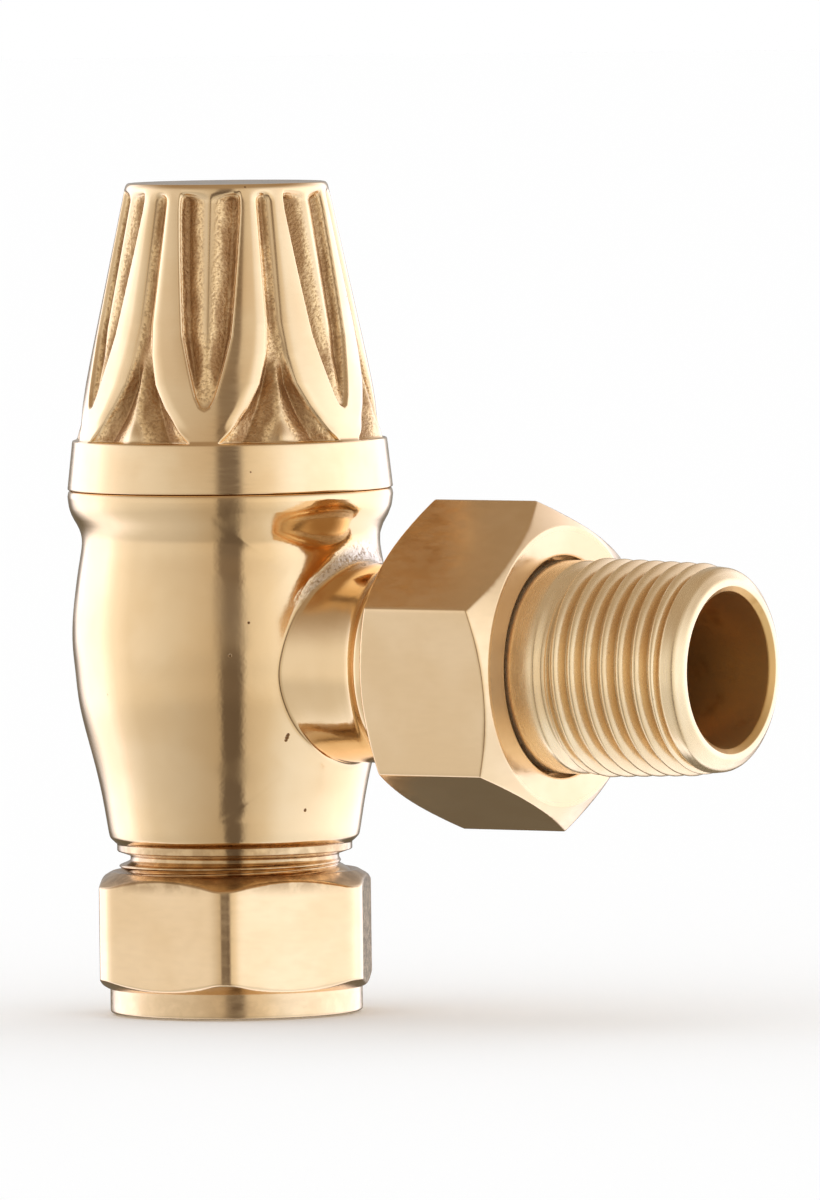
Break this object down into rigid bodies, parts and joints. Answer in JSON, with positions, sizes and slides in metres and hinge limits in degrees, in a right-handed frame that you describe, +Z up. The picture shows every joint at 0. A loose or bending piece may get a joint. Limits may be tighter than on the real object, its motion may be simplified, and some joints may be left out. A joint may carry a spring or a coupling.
{
  "type": "lockshield valve",
  "caption": "Angled brass radiator valve with a leaf-patterned push-on cap over its spindle, a compression joint below and a threaded union tail at the side.",
  "frame": {"origin": "where the vertical axis of the inlet and spindle crosses the horizontal axis of the outlet", "axes": "+Z up along the inlet, spindle and cap; +X along the outlet, towards the radiator; +Y completes the right-handed set"},
  "size_m": [0.0741, 0.0322, 0.0818],
  "materials": {
    "body_brass": "polished unlacquered brass over a casting, with a few fine pits",
    "cap_brass": "polished brass leaves and a satin top; the hollows keep the grainy cast skin",
    "nut_brass": "machined brass, softly polished, with faint turning marks on the chamfers",
    "tail_brass": "bright machined brass with cut threads",
    "olive_brass": "plain turned brass",
    "internal_brass": "turned brass, not polished",
    "spindle_brass": "fine turned brass stem",
    "spring_steel": "spring steel clip",
    "black_rubber": "black nitrile rubber",
    "fibre_washer": "red vulcanised fibre",
    "white_packing": "white fluoropolymer packing"
  },
  "bodies": {
    "valve": {"valve_body": "body_brass", "bonnet": "internal_brass", "bonnet_seal": "fibre_washer", "spindle_o_ring": "black_rubber", "gland_washer": "internal_brass", "gland_packing": "white_packing"},
    "gland_follower_group": {"gland_follower": "internal_brass"},
    "gland_nut_group": {"gland_nut": "internal_brass"},
    "jumper_group": {"jumper": "internal_brass", "seat_washer": "black_rubber", "washer_nut": "internal_brass", "jumper_clip": "spring_steel"},
    "spindle_group": {"spindle": "spindle_brass"},
    "tail_group": {"union_tail": "tail_brass", "union_seal": "black_rubber"},
    "union_nut_group": {"union_nut": "nut_brass"},
    "olive_group": {"compression_olive": "olive_brass"},
    "compression_nut_group": {"compression_nut": "nut_brass"},
    "cap_ring_group": {"cap_grip_ring": "black_rubber"},
    "cap_group": {"lockshield_cap": "cap_brass"}
  },
  "joints": [
    {"name": "cap_lift", "type": "slide", "parent": "valve", "child": "cap_ring_group", "axis": [0, 0, 1], "range_m": [0, 0.035]},
    {"name": "cap_spin", "type": "hinge", "parent": "cap_ring_group", "child": "cap_group", "pos_m": [0, 0, 0.02], "axis": [0, 0, 1], "continuous": true},
    {"name": "jumper_lift", "type": "slide", "parent": "valve", "child": "jumper_group", "axis": [0, 0, 1], "range_m": [0, 0.00525]},
    {"name": "spindle_turn", "type": "hinge", "parent": "jumper_group", "child": "spindle_group", "pos_m": [0, 0, 0], "axis": [0, 0, 1], "range_deg": [0, 1262]},
    {"name": "gland_follower_lift", "type": "slide", "parent": "valve", "child": "gland_follower_group", "axis": [0, 0, 1], "range_m": [0, 0.002]},
    {"name": "gland_nut_turn", "type": "hinge", "parent": "gland_follower_group", "child": "gland_nut_group", "pos_m": [0, 0, 0.0314], "axis": [0, 0, 1], "range_deg": [0, 722]},
    {"name": "union_draw", "type": "slide", "parent": "valve", "child": "tail_group", "axis": [1, 0, 0], "range_m": [0, 0.00635]},
    {"name": "union_nut_turn", "type": "hinge", "parent": "tail_group", "child": "union_nut_group", "pos_m": [0.031, 0, 0], "axis": [1, 0, 0], "range_deg": [0, 1262]},
    {"name": "olive_drop", "type": "slide", "parent": "valve", "child": "olive_group", "axis": [0, 0, -1], "range_m": [0, 0.00635]},
    {"name": "compression_nut_turn", "type": "hinge", "parent": "olive_group", "child": "compression_nut_group", "pos_m": [0, 0, -0.027], "axis": [0, 0, -1], "range_deg": [0, 1262]}
  ],
  "couplings": [
    {"joint": "spindle_turn", "follows": "jumper_lift", "rad_per_m": 4188.8},
    {"joint": "gland_nut_turn", "follows": "gland_follower_lift", "rad_per_m": 6283.2},
    {"joint": "union_nut_turn", "follows": "union_draw", "rad_per_m": 3463.7},
    {"joint": "compression_nut_turn", "follows": "olive_drop", "rad_per_m": 3463.7}
  ]
}
